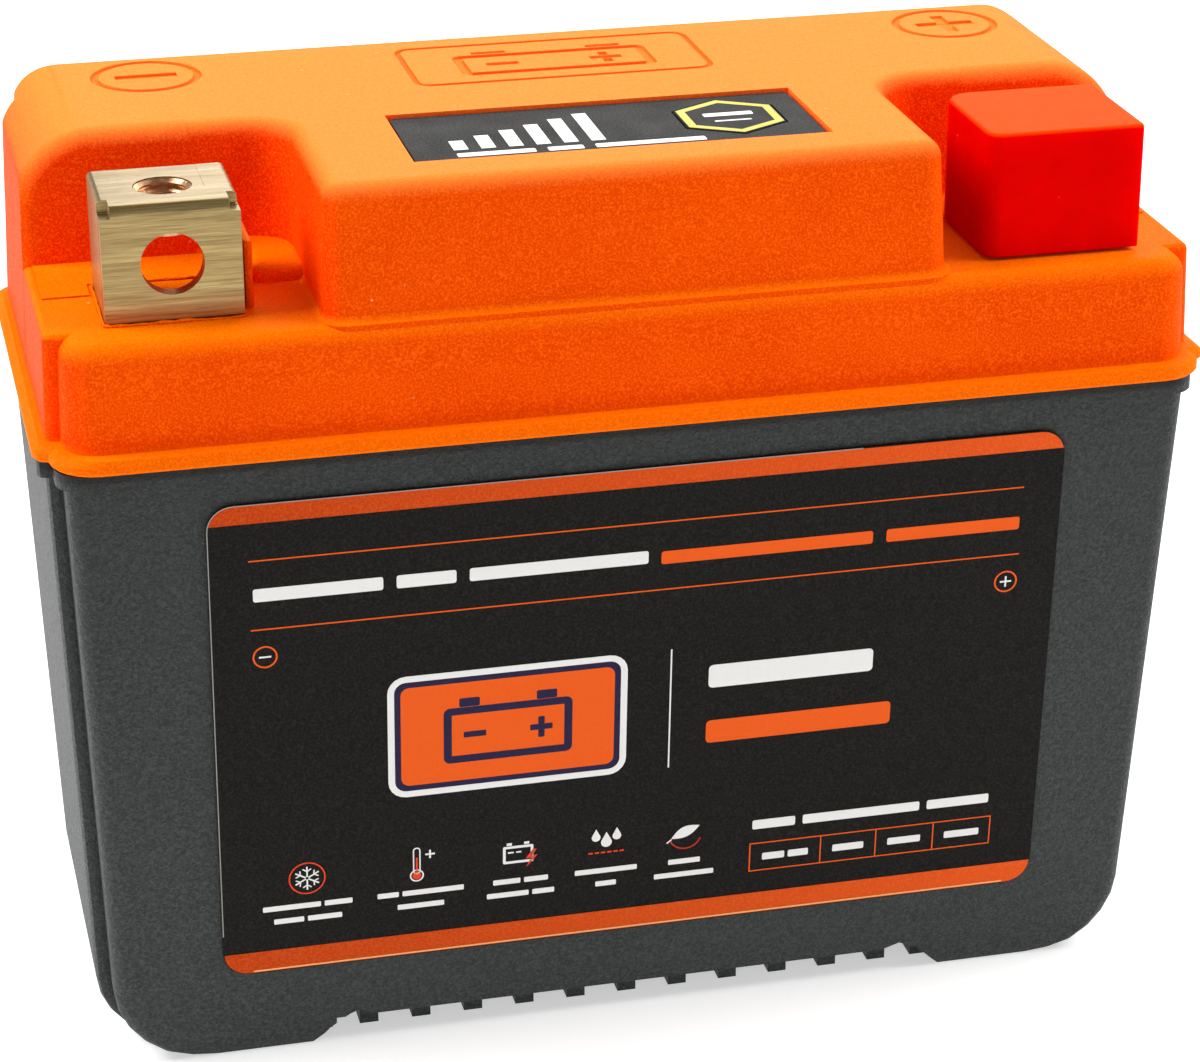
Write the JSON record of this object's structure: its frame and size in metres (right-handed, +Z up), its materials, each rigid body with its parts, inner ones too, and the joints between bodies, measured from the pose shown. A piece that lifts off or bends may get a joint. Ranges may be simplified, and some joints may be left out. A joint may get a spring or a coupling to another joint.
{
  "type": "motorcycle battery",
  "caption": "Compact lithium starter battery: dark drafted case, orange stepped lid, folded brass terminals, red terminal cover, charge display with a test button.",
  "frame": {"origin": "middle of the base, on the surface that the battery stands on", "axes": "+X along the length towards the positive terminal, -Y towards the labelled front, +Z up"},
  "size_m": [0.107, 0.052, 0.085],
  "materials": {
    "case_plastic": "dark slate grey moulded plastic with a fine leather grain",
    "lid_plastic": "orange moulded plastic with a fine grain",
    "gasket_rubber": "soft black rubber",
    "terminal_brass": "folded sheet with a brushed grain",
    "cover_red": "translucent red soft plastic",
    "overlay_film": "printed dark film",
    "button_film": "printed dark film with a yellow outline",
    "circuit_board": "green solder mask",
    "black_plastic": "black component body",
    "led_lens": "clear light body",
    "label_film": "printed dark label with orange stripes",
    "cell_pouch": "foil pouch",
    "foam": "dark foam",
    "nickel_strip": "nickel strip",
    "busbar_brass": "cut strip",
    "connector_plastic": "cream plastic",
    "lead_sheath": "red wire insulation",
    "cable_sheath": "black wire insulation",
    "insulating_sheet": "stiff insulating paper"
  },
  "bodies": {
    "battery": {"battery_case": "case_plastic", "lid": "lid_plastic", "lid_gasket": "gasket_rubber", "negative_terminal": "terminal_brass", "positive_terminal": "terminal_brass", "indicator_overlay": "overlay_film", "indicator_board": "circuit_board", "charge_led_1": "led_lens", "charge_led_2": "led_lens", "charge_led_3": "led_lens", "charge_led_4": "led_lens", "charge_led_5": "led_lens", "charge_led_6": "led_lens", "test_switch": "black_plastic", "front_label": "label_film", "cell_1": "cell_pouch", "cell_2": "cell_pouch", "cell_3": "cell_pouch", "cell_4": "cell_pouch", "cell_spacer_1": "foam", "cell_spacer_2": "foam", "cell_spacer_3": "foam", "cell_link_1": "nickel_strip", "cell_link_2": "nickel_strip", "cell_link_3": "nickel_strip", "negative_busbar": "busbar_brass", "positive_busbar": "busbar_brass", "protection_board": "circuit_board", "transistor_1": "black_plastic", "transistor_2": "black_plastic", "transistor_3": "black_plastic", "transistor_4": "black_plastic", "balance_connector": "connector_plastic", "balance_lead_1": "lead_sheath", "balance_lead_2": "lead_sheath", "balance_lead_3": "lead_sheath", "balance_lead_4": "lead_sheath", "balance_lead_5": "lead_sheath", "indicator_cable": "cable_sheath", "base_pad": "foam", "front_pad": "foam", "rear_pad": "foam", "insulator_sheet": "insulating_sheet"},
    "test_key": {"test_button": "button_film"},
    "terminal_cover": {"positive_terminal_cap": "cover_red"}
  },
  "joints": [
    {"name": "test_button_press", "type": "slide", "parent": "battery", "child": "test_key", "axis": [0, 0, -1], "range_m": [0, 0.0003], "stiffness_N_per_m": 1500},
    {"name": "terminal_cover_lift", "type": "slide", "parent": "battery", "child": "terminal_cover", "axis": [0, 0, 1], "range_m": [0, 0.015]}
  ]
}
